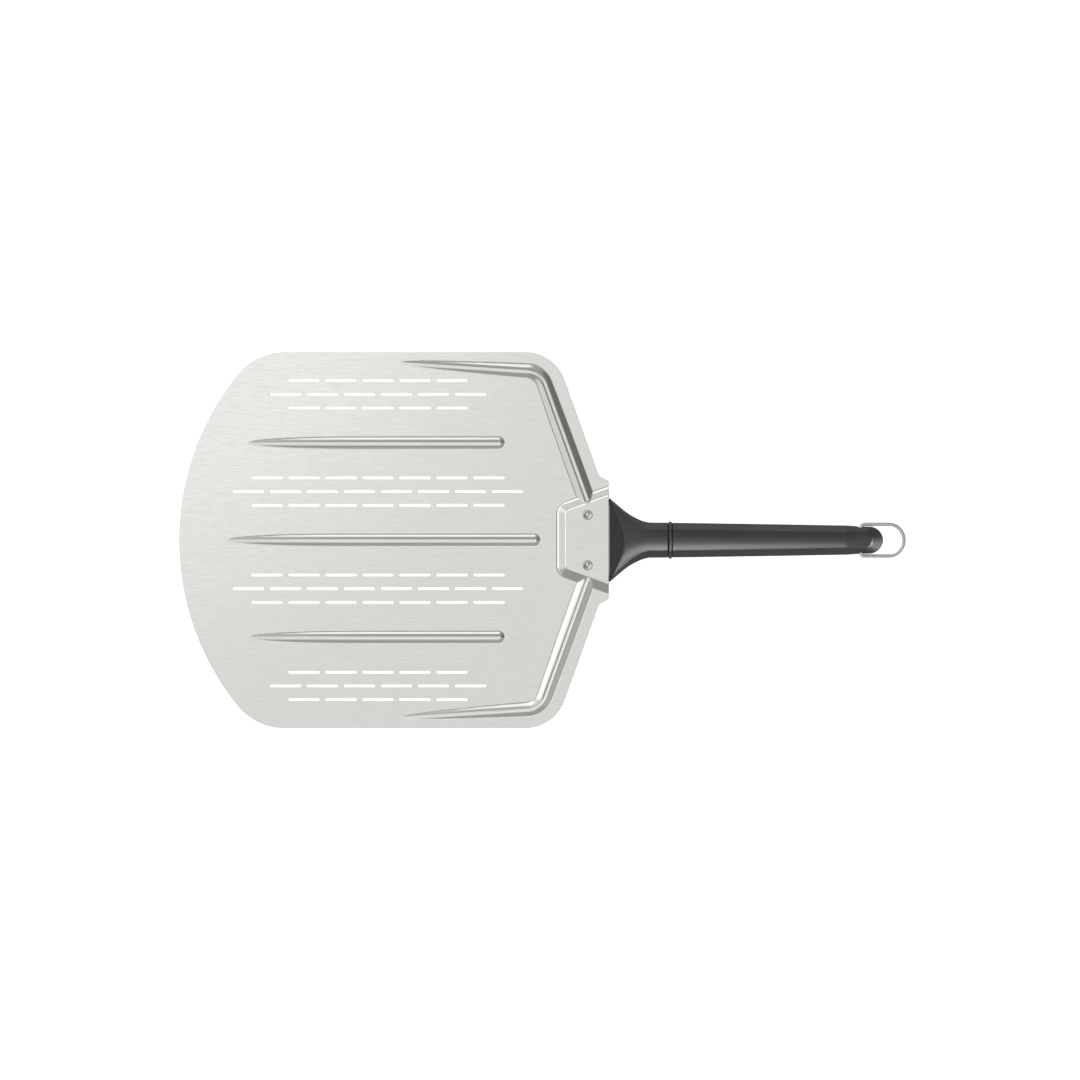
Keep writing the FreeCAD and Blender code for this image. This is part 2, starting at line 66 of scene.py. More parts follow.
BLADE_LOW, BLADE_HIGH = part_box("blade")
_, NECK_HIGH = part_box("neck")
RING_LOW, RING_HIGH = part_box("joint_ring")
GRIP_LOW, GRIP_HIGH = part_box("grip")
_, CAP_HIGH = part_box("end_cap")
_, LOOP_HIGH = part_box("hanging_loop")
RIVETS_LOW, RIVETS_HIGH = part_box("blade_rivets")
PIVOT = Vector(frame["joints"][0]["pos_m"])

# Blade outline. Corners are (x, y, corner radius) on the +Y side.
SHEET = 0.001
FRONT_X, REAR_X = BLADE_LOW.x, BLADE_HIGH.x
HALF_WIDTH = BLADE_HIGH.y
FRONT_RADIUS = 0.2315
FRONT_CORNER_RADIUS = 0.0538
REAR_CORNERS = (
    (REAR_X - 0.0475, HALF_WIDTH, 0.0369),
    (REAR_X - 0.0085, 0.0565, 0.0035),
    (REAR_X, 0.0519, 0.0022),
)

# Rows of the sheet's cut edges: how far past the flat face's edge, and depth under the top. The
# rim's radius rounds an edge, and the sink for a rivet's head narrows toward the underside.
RIM = 0.0002
EDGE_ROWS = ((RIM * 0.7, RIM * 0.3), (RIM, RIM), (RIM, SHEET - RIM), (RIM * 0.7, SHEET - RIM * 0.3))
SINK_ROWS = ((0.00004, 0.00015), (0.00004, 0.0006), (0.0012, SHEET - 0.00005))

# Slots: two panels on each side of the centre rib, each of three staggered rows.
SLOT_LENGTH = 0.0276
SLOT_WIDTH = 0.00245
SLOT_PITCH = 0.03246
SLOT_CENTRE_X = FRONT_X + 0.1744
ROW_STEP = 0.012
SLOT_PANELS = ((0.0426, 8), (0.1279, 6))

# Straight ribs: (y, start x, end x), and the section of the bead.
RIBS = (
    (0.0, FRONT_X + 0.0412, REAR_X - 0.0593),
    (0.0852, FRONT_X + 0.0592, REAR_X - 0.0906),
    (-0.0852, FRONT_X + 0.0592, REAR_X - 0.0906),
)
RIB_RISE = 0.0027
RIB_TAPER = 0.1
RIB_CROWN = 0.0056
RIB_FOOT = 0.0025
RIB_REACH = RIB_CROWN + RIB_FOOT
RIB_HALF_WIDTH = RIB_REACH * math.sin(math.acos(1 - RIB_RISE / RIB_REACH))

# Corner ribs: centre line in plan on the +Y side.
CORNER_RIB_TIP = (REAR_X - 0.1852, HALF_WIDTH - 0.0093)
CORNER_RIB_BEND = (REAR_X - 0.06, HALF_WIDTH - 0.0174)
CORNER_RIB_END = (REAR_X - 0.0169, 0.0285)
CORNER_RIB_BEND_RADIUS = 0.0175
CORNER_RIB_RISE = 0.0041
CORNER_RIB_TAPER = 0.22
CORNER_RIB_CROWN = 0.0056
CORNER_RIB_FOOT = 0.0024
CORNER_RIB_FLANK = math.radians(36)

# Housing: the raised pocket for the handle. Its roof's edge, and the wall outside it.
HOUSING_RISE = BLADE_HIGH.z - SHEET
ROOF_LEFT = REAR_X - 0.0372
ROOF_REAR_Y = 0.0385
ROOF_SLOPE = 0.366
ROOF_CORNER_RADIUS = 0.003
WALL_RUN = 0.0093
WALL_STEP_SLOPE = math.tan(math.radians(39))
FOOT_TOE = 0.0009
TOE_STEEPNESS = 0.3
FOOT_FILLET = 0.0018
FOOT_STEP = 0.0024
ROOF_STEP = 0.0008
ROOF_FILLET = 0.0004
WALL_BLEND = 0.0003
BEAD_BLEND = 0.0010

# Rivets.
RIVET_X = (RIVETS_LOW.x + RIVETS_HIGH.x) / 2
RIVET_RADIUS = (RIVETS_HIGH.x - RIVETS_LOW.x) / 2
RIVET_Y = RIVETS_HIGH.y - RIVET_RADIUS
RIVET_SHANK = 0.002

# The neck's tongue under the housing: its size, the gap to the wall, and the two steps of each
# rivet hole. A slanted wall measures more across the peel than square to itself.
TONGUE_HEIGHT = 0.00265
TONGUE_REAR_Y = 0.0362
TONGUE_GAP = 0.0006
SLANT_STRETCH = 1.065
POCKET_RADIUS = 0.0044
POCKET_DEPTH = 0.0015
SHANK_HOLE_RADIUS = 0.00205

# Handle sections: place, then half width, half width of the top face, crest z, z of the face's
# edge, z of the widest line, half width of the underside, z of its edge, z of the underside.
NECK_FRONT_X = REAR_X + 0.0005
NECK_LENGTH = NECK_HIGH.x - NECK_FRONT_X
NECK_SECTIONS = (
    (0.000, 0.0371, 0.0347, 0.0140, 0.0076, 0.0026, 0.0356, 0.0002, 0.0000),
    (0.147, 0.0307, 0.0280, 0.0165, 0.0102, 0.0044, 0.0289, 0.0004, 0.0001),
    (0.285, 0.0249, 0.0219, 0.0187, 0.0134, 0.0066, 0.0224, 0.0009, 0.0003),
    (0.458, 0.0195, 0.0150, 0.0210, 0.0172, 0.0092, 0.0156, 0.0017, 0.0006),
    (0.664, 0.0158, 0.0099, 0.0230, 0.0210, 0.0116, 0.0104, 0.0025, 0.0009),
    (0.780, 0.0156, 0.0097, 0.0236, 0.0219, 0.0121, 0.0100, 0.0026, 0.0010),
    (1.000, 0.0155, 0.0097, 0.0240, 0.0223, 0.0124, 0.0098, 0.0027, 0.0010),
)
GRIP_SECTIONS = (
    (0.0, 0.0154, 0.0097, 0.0240, 0.0223, 0.0124, 0.0098, 0.0027, 0.0010),
    (0.5, 0.0143, 0.0086, 0.0232, 0.0216, 0.0120, 0.0088, 0.0026, 0.0010),
    (1.0, 0.0130, 0.0074, 0.0222, 0.0208, 0.0116, 0.0078, 0.0025, 0.0010),
)
CAP_SECTIONS = (
    (0.00, 0.0130, 0.0074, 0.0222, 0.0208, 0.0116, 0.0078, 0.0025, 0.0010),
    (0.25, 0.0126, 0.0073, 0.0206, 0.0194, 0.0115, 0.0075, 0.0025, 0.0011),
    (0.50, 0.0122, 0.0072, 0.0192, 0.0182, 0.0114, 0.0072, 0.0026, 0.0012),
    (1.00, 0.0122, 0.0071, 0.0168, 0.0160, 0.0113, 0.0070, 0.0030, 0.0015),
)
EDGE_ROUNDING = 0.0016
SEAM_ROUNDING = 0.0003
FRONT_ROUNDING = 0.0008
NECK_POINTS = 200
SECTION_POINTS = 160
RISER_SLOPE = math.tan(math.radians(44))
RISER_BLEND = 0.0006
CAP_X = GRIP_HIGH.x
NOSE_RADIUS = 0.01215
NOSE_X = CAP_HIGH.x - NOSE_RADIUS
NOSE_FACE_SETBACK = 0.0047
FULL_WIDTH_SHARE = 0.62
RING_BULGE = 0.0011
RING_GROOVE = 0.0006
GROOVE_DEPTH = 0.0004

# Bore for a wire end: (radius, distance from the middle plane), with a flared mouth.
BORE_PROFILE = [(0.0, 0.0057), (0.00155, 0.0057), (0.00155, 0.0104), (0.0018, 0.0112)]
BORE_PROFILE += [(0.0024, 0.0118), (0.0033, 0.0126), (0.0042, 0.0134), (0.0042, 0.02), (0.0, 0.02)]

# Hanging loop.
WIRE_RADIUS = 0.0015
LOOP_HALF_WIDTH = LOOP_HIGH.y - WIRE_RADIUS
LOOP_BEND_RADIUS = 0.0035
LOOP_END_Y = 0.006

# Faces are triangulated in plan in millimetres.
TO_MM = 1000
MERGE_DISTANCE = 1e-6


# --- meshes ---


def new_object(name, data):
    """An object in the scene with that mesh, light or camera."""
    made = bpy.data.objects.new(name, data)
    bpy.context.scene.collection.objects.link(made)
    return made


def make_piece(name, points, faces, body, node, material):
    """A smooth mesh piece that rides on a body and stands for a CAD node."""
    mesh = bpy.data.meshes.new(name)
    mesh.from_pydata([tuple(map(float, p)) for p in points], [], [tuple(map(int, f)) for f in faces])
    mesh.validate()
    mesh.shade_smooth()
    mesh.materials.append(material)
    piece = new_object(name, mesh)
    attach(piece, body)
    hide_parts(node)
    return piece


def strip_faces(first, second):
    """Quads between two closed rows of vertex indices of the same length."""
    count = len(first)
    after = [(i + 1) % count for i in range(count)]
    return [(first[i], first[k], second[k], second[i]) for i, k in enumerate(after)]


def tube_faces(rows, columns):
    """Faces of a tube whose vertices lie in closed rows, with flat ends."""
    faces = []
    for r in range(rows - 1):
        first = list(range(r * columns, (r + 1) * columns))
        second = list(range((r + 1) * columns, (r + 2) * columns))
        faces += [face[::-1] for face in strip_faces(first, second)]
    count = rows * columns
    faces.append(tuple(range(columns)))
    faces.append(tuple(range(count - 1, count - columns - 1, -1)))
    return faces


def loop_edges(lengths):
    """Index loops of those lengths, numbered one after another, and all their edges."""
    loops, edges = [], []
    start = 0
    for length in lengths:
        indices = list(range(start, start + length))
        loops.append(indices)
        edges += list(zip(indices, indices[1:] + indices[:1]))
        start += length
    return loops, edges


def smooth_max(a, b, blend):
    """The larger value, with the crease between the two rounded off."""
    gap = np.clip(blend - np.abs(a - b), 0, None) / blend
    return np.maximum(a, b) + gap * gap * blend / 4


def smooth_min(a, b, blend):
    return -smooth_max(-a, -b, blend)


def curve_through(table, places):
    """Smooth values at places through a table whose rows are (place, value, value, ...)."""
    table = np.array(table, float)
    knots = table[:, 0]
    columns = []
    for values in table[:, 1:].T:
        slopes = np.gradient(values, knots)
        i = np.clip(np.searchsorted(knots, places, side="right") - 1, 0, len(knots) - 2)
        step = knots[i + 1] - knots[i]
        t = (places - knots[i]) / step
        start = (2 * t**3 - 3 * t**2 + 1) * values[i] + (t**3 - 2 * t**2 + t) * step * slopes[i]
        end = (3 * t**2 - 2 * t**3) * values[i + 1] + (t**3 - t**2) * step * slopes[i + 1]
        columns.append(start + end)
    return np.array(columns).T


# --- blade ---


def round_corner(before, corner, after, radius, steps):
    """Points of the arc that rounds a corner."""
    to_before = (before - corner).normalized()
    to_after = (after - corner).normalized()
    half = to_before.angle(to_after) / 2
    centre = corner + (to_before + to_after).normalized() * (radius / math.sin(half))
    start = corner + to_before * (radius / math.tan(half)) - centre
    end = corner + to_after * (radius / math.tan(half)) - centre
    turn = start.angle_signed(end)
    points = []
    for i in range(steps + 1):
        angle = -turn * i / steps
        cos, sin = math.cos(angle), math.sin(angle)
        points.append(centre + Vector((start.x * cos - start.y * sin, start.x * sin + start.y * cos)))
    return points


def blade_loop():
    """The blade's outline, counter-clockwise from the middle of its rear edge."""
    front_centre = Vector((FRONT_X + FRONT_RADIUS, 0))
    corner_y = HALF_WIDTH - FRONT_CORNER_RADIUS
    reach = math.sqrt((FRONT_RADIUS - FRONT_CORNER_RADIUS) ** 2 - corner_y**2)
    corner_centre = Vector((front_centre.x - reach, corner_y))
    turn = math.atan2(corner_y, -reach)
    corners = [Vector((x, y)) for x, y, _ in REAR_CORNERS[::-1]]
    route = [Vector((REAR_X, 0))] + corners + [Vector((corner_centre.x, HALF_WIDTH))]
    arc_step, corner_steps, front_steps = 0.0015, 40, 60
    half = []
    for i, (_, _, radius) in enumerate(REAR_CORNERS[::-1], 1):
        steps = max(6, int(radius / arc_step))
        half += round_corner(route[i - 1], route[i], route[i + 1], radius, steps)
    for i in range(1, corner_steps):
        angle = math.pi / 2 + (turn - math.pi / 2) * i / corner_steps
        half.append(corner_centre + Vector((math.cos(angle), math.sin(angle))) * FRONT_CORNER_RADIUS)
    for i in range(front_steps):
        angle = turn + (math.pi - turn) * i / front_steps
        half.append(front_centre + Vector((math.cos(angle), math.sin(angle))) * FRONT_RADIUS)
    other = [Vector((p.x, -p.y)) for p in half[::-1]]
    return np.array(half + [Vector((FRONT_X, 0))] + other)


def outward_normals(loop):
    """Unit normals of a counter-clockwise loop, pointing out of it."""
    along = np.roll(loop, -1, axis=0) - np.roll(loop, 1, axis=0)
    normals = np.stack([along[:, 1], -along[:, 0]], axis=1)
    return normals / np.linalg.norm(normals, axis=1, keepdims=True)


def slot_places():
    """Centres of all the slots."""
    places = []
    for panel_y, count in SLOT_PANELS:
        for row in (-1, 0, 1):
            in_row = count - abs(row)
            first_x = SLOT_CENTRE_X - (in_row - 1) * SLOT_PITCH / 2
            for i in range(in_row):
                for side in (-1, 1):
                    places.append((first_x + i * SLOT_PITCH, side * (panel_y + row * ROW_STEP)))
    return places


def slot_loop(x, y):
    """Outline of a slot with round ends."""
    half_run = (SLOT_LENGTH - SLOT_WIDTH) / 2
    radius = SLOT_WIDTH / 2
    angles = np.linspace(-math.pi / 2, math.pi / 2, 9)
    right = np.stack([half_run + radius * np.cos(angles), radius * np.sin(angles)], axis=1)
    run = np.linspace(half_run, -half_run, 8)[1:-1]
    top = np.stack([run, np.full_like(run, radius)], axis=1)
    return np.concatenate([right, top, -right, -top]) + (x, y)


def circle_loop(x, y, radius):
    """Outline of a round hole."""
    angles = np.linspace(0, 2 * math.pi, 48, endpoint=False)
    return np.stack([x + radius * np.cos(angles), y + radius * np.sin(angles)], axis=1)


def bead_shape(crest, crown, foot, steepest):
    """Steepest angle of a pressed bead's side, and the width of the straight flank at that angle."""
    reach = crown + foot
    angle = np.minimum(np.arccos(np.clip(1 - crest / reach, -1, 1)), steepest)
    flank = (crest - reach * (1 - np.cos(angle))) / np.maximum(np.tan(angle), 1e-6)
    return angle, np.clip(flank, 0, None)


def bead_height(distance, crest, crown, foot, steepest=math.pi / 2):
    """Height of a pressed bead: a round crown, straight flanks and a foot fillet."""
    angle, flank = bead_shape(crest, crown, foot, steepest)
    crown_end = crown * np.sin(angle)
    half_width = crown_end + flank + foot * np.sin(angle)
    top = crest - crown + np.sqrt(np.clip(crown**2 - distance**2, 0, None))
    side = crest - crown * (1 - np.cos(angle)) - (distance - crown_end) * np.tan(angle)
    base = foot - np.sqrt(np.clip(foot**2 - (half_width - distance) ** 2, 0, None))
    height = np.where(distance < crown_end, top, np.where(distance < crown_end + flank, side, base))
    return np.where(distance < half_width, height, 0)


def tapered_crest(station, taper, rise):
    """Height of a bead's crest, which rises over the taper from its tip."""
    return rise * (1 - np.clip(1 - station / taper, 0, 1) ** 2)


def rib_height(x, y, rib):
    """Height of a straight rib: a tapered tip in front and a round end behind."""
    rib_y, start_x, end_x = rib
    ball_x = end_x - RIB_HALF_WIDTH
    crest = tapered_crest(x - start_x, RIB_TAPER, RIB_RISE)
    distance = np.hypot(np.clip(x - ball_x, 0, None), y - rib_y)
    return bead_height(distance, crest, RIB_CROWN, RIB_FOOT)


def along_segment(x, y, start, end):
    """Distance from a straight stretch, and how far along it the nearest point is."""
    run = np.array(end) - np.array(start)
    length = np.hypot(*run)
    along = ((x - start[0]) * run[0] + (y - start[1]) * run[1]) / length
    near = np.clip(along, 0, length)
    near_x = start[0] + run[0] * near / length
    near_y = start[1] + run[1] * near / length
    return np.hypot(x - near_x, y - near_y), near


def corner_rib_route():
    """Centre line of the +Y corner rib in plan."""
    tip, bend, end = (Vector(p) for p in (CORNER_RIB_TIP, CORNER_RIB_BEND, CORNER_RIB_END))
    return [tip] + round_corner(tip, bend, end, CORNER_RIB_BEND_RADIUS, 24) + [end]


def corner_rib_height(x, y):
    """Height of the rib that turns the rear corner. Both sides are the same."""
    y = np.abs(y)
    best = np.full_like(x, 1.0)
    station = np.zeros_like(x)
    travelled = 0.0
    route = corner_rib_route()
    for start, stop in zip(route, route[1:]):
        distance, along = along_segment(x, y, tuple(start), tuple(stop))
        nearer = distance < best
        best = np.where(nearer, distance, best)
        station = np.where(nearer, travelled + along, station)
        travelled += (stop - start).length
    crest = tapered_crest(station, CORNER_RIB_TAPER, CORNER_RIB_RISE)
    return bead_height(best, crest, CORNER_RIB_CROWN, CORNER_RIB_FOOT, CORNER_RIB_FLANK)


def wall_profile():
    """The housing's wall: a steep step at the foot, a gentler slope, a steep step at the roof."""
    steps = 880
    run = np.linspace(0, WALL_RUN, steps + 1)
    places = [0, FOOT_TOE, FOOT_FILLET, FOOT_STEP, FOOT_STEP + WALL_BLEND]
    places += [WALL_RUN - ROOF_STEP - WALL_BLEND, WALL_RUN - ROOF_STEP, WALL_RUN - ROOF_FILLET, WALL_RUN]
    steep = np.interp(run, places, [0, TOE_STEEPNESS, 1, 1, 0, 0, 1, 1, 0])
    gentle = np.interp(run, places, [0, 0, 0, 0, 1, 1, 0, 0, 0])
    step = WALL_RUN / steps
    steep_rise = np.cumsum(steep) * step * WALL_STEP_SLOPE
    gentle_rise = np.cumsum(gentle) * step
    slope = (HOUSING_RISE - steep_rise[-1]) / gentle_rise[-1]
    return run, steep_rise + gentle_rise * slope


def outside_roof(x, y):
    """Distance from the edge of the housing's roof, in plan."""
    slant = math.atan(ROOF_SLOPE)
    side_y = ROOF_REAR_Y + ROOF_SLOPE * (x - REAR_X)
    away = np.maximum(ROOF_LEFT - x, (np.abs(y) - side_y) * math.cos(slant))
    centre_x = ROOF_LEFT + ROOF_CORNER_RADIUS
    centre_y = ROOF_REAR_Y + ROOF_SLOPE * (centre_x - REAR_X) - ROOF_CORNER_RADIUS / math.cos(slant)
    dx, dy = x - centre_x, np.abs(y) - centre_y
    at_corner = (dy > 0) & (dx * math.cos(slant) + dy * math.sin(slant) < 0)
    return np.where(at_corner, np.hypot(dx, dy) - ROOF_CORNER_RADIUS, away)


def housing_height(x, y):
    """Height of the housing: a flat roof and sloping walls."""
    places, heights = wall_profile()
    return np.interp(WALL_RUN - outside_roof(x, y), places, heights)


def emboss(x, y):
    """How far the sheet is raised at each point."""
    housing, rib = housing_height(x, y), corner_rib_height(x, y)
    blend = np.clip(np.minimum(housing, rib), 1e-9, BEAD_BLEND)
    height = smooth_max(housing, rib, blend)
    for rib in RIBS:
        height = np.maximum(height, rib_height(x, y, rib))
    return np.clip(height, 0, HOUSING_RISE)


def hex_points(spacing):
    """A triangular lattice over the blade's box."""
    row_step = spacing * math.sqrt(0.75)
    points = []
    for row, y in enumerate(np.arange(-HALF_WIDTH, HALF_WIDTH, row_step)):
        xs = np.arange(FRONT_X + (row % 2) * spacing / 2, REAR_X, spacing)
        points.append(np.stack([xs, np.full_like(xs, y)], axis=1))
    return np.concatenate(points)


def nearest(points, targets):
    """Distance from each point to the nearest target."""
    block_size = 2000
    best = np.empty(len(points))
    for start in range(0, len(points), block_size):
        block = points[start : start + block_size]
        gaps = block[:, None, :] - targets[None, :, :]
        best[start : start + block_size] = np.sqrt((gaps**2).sum(axis=2).min(axis=1))
    return best


def inside_loop(points, loop):
    """Which points lie inside a closed loop, by crossings of a ray along +X."""
    inside = np.zeros(len(points), bool)
    px, py = points[:, 0], points[:, 1]
    for (ax, ay), (bx, by) in zip(loop, np.roll(loop, -1, axis=0)):
        spans = (ay > py) != (by > py)
        if by != ay:
            inside ^= spans & (px < (bx - ax) * (py - ay) / (by - ay) + ax)
    return inside


def rows_beside(start, stop, half_width, across, along):
    """Points in rows beside a line, closer together across it than along it."""
    run = stop - start
    side = Vector((-run.y, run.x)).normalized()
    steps = max(1, round(run.length / along))
    offsets = np.linspace(-half_width, half_width, 2 * round(half_width / across) + 1)
    return [start + run * (i / steps) + side * offset for i in range(steps) for offset in offsets]


def rib_points():
    """Points for the meshes of the ribs, in rows that follow them."""
    margin, across, along = 0.0004, 0.00062, 0.003
    points = []
    half_width = RIB_HALF_WIDTH + margin
    for y, start_x, end_x in RIBS:
        level_end = Vector((end_x - half_width - 2 * across, y))
        points += rows_beside(Vector((start_x, y)), level_end, half_width, across, along)
        points += rows_beside(level_end, Vector((end_x + margin, y)), half_width, across, across)
    reach = CORNER_RIB_CROWN + CORNER_RIB_FOOT
    angle, flank = bead_shape(CORNER_RIB_RISE, CORNER_RIB_CROWN, CORNER_RIB_FOOT, CORNER_RIB_FLANK)
    half_width = float(reach * np.sin(angle) + flank) + margin
    route = corner_rib_route()
    for start, stop in zip(route, route[1:]):
        beside = rows_beside(start, stop, half_width, across, along)
        points += beside + [Vector((p.x, -p.y)) for p in beside]
    return np.array(points)


def wall_points():
    """Points for the mesh of the housing's wall, in rows that follow it."""
    inner = ROOF_STEP + WALL_BLEND
    outer = WALL_RUN - FOOT_STEP - WALL_BLEND
    offsets = np.concatenate([np.linspace(0, inner, 6), np.linspace(inner, outer, 6)[1:-1]])
    offsets = np.concatenate([offsets, np.linspace(outer, WALL_RUN, 8)])
    centre_x = REAR_X - 0.002
    first_angle, last_angle, rays = 84, 276, 200
    reach = np.linspace(0, 0.08, 400)
    points = []
    for angle in np.radians(np.linspace(first_angle, last_angle, rays)):
        cos, sin = math.cos(angle), math.sin(angle)
        found = np.interp(offsets, outside_roof(centre_x + reach * cos, reach * sin), reach)
        points.append(np.stack([centre_x + found * cos, found * sin], axis=1))
    return np.concatenate(points)


def sheet_lattice(outline, holes):
    """Points inside the sheet: in rows on pressed shapes, far apart on the flat."""
    close, coarse = 0.0003, 0.0075
    clearance = coarse * 0.35
    edges = np.concatenate([outline] + holes)
    wall = wall_points()
    ribs = rib_points()
    ribs = ribs[nearest(ribs, wall) > close]
    shaped = np.concatenate([wall, ribs])
    shaped = shaped[inside_loop(shaped, outline) & (nearest(shaped, edges) > close)]
    sparse = hex_points(coarse)
    sparse = sparse[inside_loop(sparse, outline)]
    apart = (nearest(sparse, edges) > clearance) & (nearest(sparse, shaped) > clearance)
    return np.concatenate([shaped, sparse[apart]])


def triangulate(parts):
    """Triangles of the sheet in plan: all points, the faces, and the index loops of the edges."""
    outline, holes = parts[0], parts[1:]
    points = np.concatenate(parts + [sheet_lattice(outline, holes)])
    loops, edges = loop_edges([len(part) for part in parts])
    wanted = [Vector(p) for p in (points * TO_MM).tolist()]
    _, _, faces, origins, _, _ = delaunay_2d_cdt(wanted, edges, [], 0, MERGE_DISTANCE)
    back = [origin[0] for origin in origins]
    faces = np.array([[back[i] for i in face] for face in faces])
    centres = points[faces].mean(axis=1)
    keep = inside_loop(centres, outline)
    for hole in holes:
        low, high = hole.min(axis=0), hole.max(axis=0)
        near = np.flatnonzero(((centres > low) & (centres < high)).all(axis=1))
        keep[near[inside_loop(centres[near], hole)]] = False
    faces = faces[keep]
    a, b, c = (points[faces[:, i]] for i in range(3))
    turn = (b[:, 0] - a[:, 0]) * (c[:, 1] - a[:, 1]) - (b[:, 1] - a[:, 1]) * (c[:, 0] - a[:, 0])
    faces[turn < 0] = faces[turn < 0][:, ::-1]
    return points, faces, loops


def surface_normals(points):
    """Unit normals of the sheet's top surface, from the slopes of its height."""
    step = 0.00003
    x, y = points[:, 0], points[:, 1]
    slope_x = (emboss(x + step, y) - emboss(x - step, y)) / (2 * step)
    slope_y = (emboss(x, y + step) - emboss(x, y - step)) / (2 * step)
    normals = np.stack([-slope_x, -slope_y, np.ones_like(x)], axis=1)
    return normals / np.linalg.norm(normals, axis=1, keepdims=True)


def rim_normals(away, depth):
    """Unit normals of a cut edge: they turn from up, through outward, to down."""
    lean = np.column_stack([away, np.full(len(away), 1 - 2 * depth / SHEET)])
    return lean / np.linalg.norm(lean, axis=1, keepdims=True)


def blade_edges():
    """Outline, slots and rivet sinks, each with its directions away from the steel."""
    outer = blade_loop()
    outer_away = outward_normals(outer)
    parts, aways = [outer - outer_away * RIM], [outer_away]
    for x, y in slot_places():
        loop = slot_loop(x, y)
        away = -outward_normals(loop)
        parts.append(loop - away * RIM)
        aways.append(away)
    for side in (-1, 1):
        loop = circle_loop(RIVET_X, side * RIVET_Y, RIVET_RADIUS + RIM)
        parts.append(loop)
        aways.append(-outward_normals(loop))
    return parts, aways


def build_blade(material):
    """Pressed sheet: top and underside from one height function, with rounded cut edges."""
    parts, aways = blade_edges()
    plan, faces, loops = triangulate(parts)
    level = emboss(plan[:, 0], plan[:, 1])
    count = len(plan)
    points = [np.column_stack([plan, level + SHEET]), np.column_stack([plan, level])]
    all_faces = faces.tolist() + (faces[:, ::-1] + count).tolist()
    normals = surface_normals(plan)
    all_normals = [normals, -normals]
    total = 2 * count
    for i, (indices, away) in enumerate(zip(loops, aways)):
        depths = SINK_ROWS if i >= len(loops) - 2 else EDGE_ROWS
        chain = [indices]
        for shift, depth in depths:
            row = np.column_stack([plan[indices] + away * shift, level[indices] + SHEET - depth])
            chain.append(list(range(total, total + len(row))))
            points.append(row)
            all_normals.append(rim_normals(away, depth))
            total += len(row)
        chain.append([k + count for k in indices])
        for first, second in zip(chain, chain[1:]):
            strip = strip_faces(first, second)
            all_faces += strip if i > 0 else [face[::-1] for face in strip]
    points = np.concatenate(points)
    piece = make_piece("blade_sheet", points, all_faces, "peel", "blade", material)
    piece.data.normals_split_custom_set_from_vertices(np.concatenate(all_normals).tolist())
    return piece


# --- round pieces ---


def lathe(profiles, segments=48):
    """Turned solids about vertical axes: (x, y, [(radius, z), ...]) from top to bottom."""
    points, faces = [], []
    for x, y, profile in profiles:
        start = len(points)
        angles = np.linspace(0, 2 * math.pi, segments, endpoint=False)
        inner = [(radius, z) for radius, z in profile if radius > 0]
        for radius, z in inner:
            points += [(x + radius * math.cos(a), y + radius * math.sin(a), z) for a in angles]
        rows = [list(range(start + i * segments, start + (i + 1) * segments)) for i in range(len(inner))]
        for first, second in zip(rows, rows[1:]):
            faces += [face[::-1] for face in strip_faces(first, second)]
        points.append((x, y, profile[0][1]))
        faces += [(len(points) - 1, rows[0][k], rows[0][(k + 1) % segments]) for k in range(segments)]
        points.append((x, y, profile[-1][1]))
        faces += [(len(points) - 1, rows[-1][(k + 1) % segments], rows[-1][k]) for k in range(segments)]
    return points, faces


def build_rivets(material):
    """Rivets with a dished head in the roof and an upset tail at the underside."""
    roof_z = BLADE_HIGH.z
    gap = 0.0001
    head, head_edge, head_depth = RIVET_RADIUS - gap, 0.0006, 0.001
    dish, dish_depth = 0.0034, 0.0013
    tail, tail_top, bevel = 0.003, 0.0007, 0.0002
    profile = []
    for radius in np.linspace(0, dish, 9):
        profile.append((radius, roof_z - dish_depth * (1 - (radius / dish) ** 2) - gap))
    profile.append((head, roof_z - gap))
    profile += [(head, roof_z - head_edge), (RIVET_SHANK, roof_z - head_depth)]
    profile += [(RIVET_SHANK, tail_top), (tail - bevel, tail_top), (tail, tail_top - bevel)]
    profile += [(tail, gap + bevel), (tail - 2 * bevel, gap), (0.0, gap)]
    points, faces = lathe([(RIVET_X, side * RIVET_Y, profile) for side in (-1, 1)])
    return make_piece("rivet_pair", points, faces, "peel", "blade_rivets", material)


# --- handle ---


def half_section(values):
    """Right half of a handle section, from the crest down to the underside."""
    half, face, crest, edge, side, under, under_edge, bottom = values
    crown = []
    for end_y, end_z, tip_z in ((face, edge, crest), (under, under_edge, bottom)):
        sag = tip_z - end_z
        radius = (end_y**2 + sag**2) / (2 * sag)
        angles = np.linspace(0, math.asin(end_y / abs(radius)), 24)
        heights = tip_z - radius * (1 - np.cos(angles))
        crown.append(np.stack([abs(radius) * np.sin(angles), heights], axis=1))
    flank = np.array([(half, side)])
    return np.concatenate([crown[0], flank, crown[1][::-1]])


def resample(loop, count):
    """Points evenly spaced along a closed loop, from its first point."""
    closed = np.concatenate([loop, loop[:1]])
    steps = np.linalg.norm(np.diff(closed, axis=0), axis=1)
    travelled = np.concatenate([[0], np.cumsum(steps)])
    places = np.linspace(0, travelled[-1], count, endpoint=False)
    return np.stack([np.interp(places, travelled, closed[:, k]) for k in range(2)], axis=1)


def rounded(loop, width, count):
    """The loop with its corners rounded over that width, as evenly spaced points."""
    dense = 720
    even = resample(loop, dense)
    spacing = np.linalg.norm(even[1] - even[0])
    reach = max(1, int(width / spacing / 2))
    smooth = np.mean([np.roll(even, k, axis=0) for k in range(-reach, reach + 1)], axis=0)
    return resample(smooth, count)


def closed_section(values, ceiling=None):
    """A whole handle section, cut off smoothly at a ceiling where there is one."""
    right = half_section(values)
    if ceiling is not None:
        right[:, 1] = smooth_min(right[:, 1], ceiling, RISER_BLEND)
    left = right[::-1] * (-1, 1)
    return np.concatenate([right, left[1:-1]])


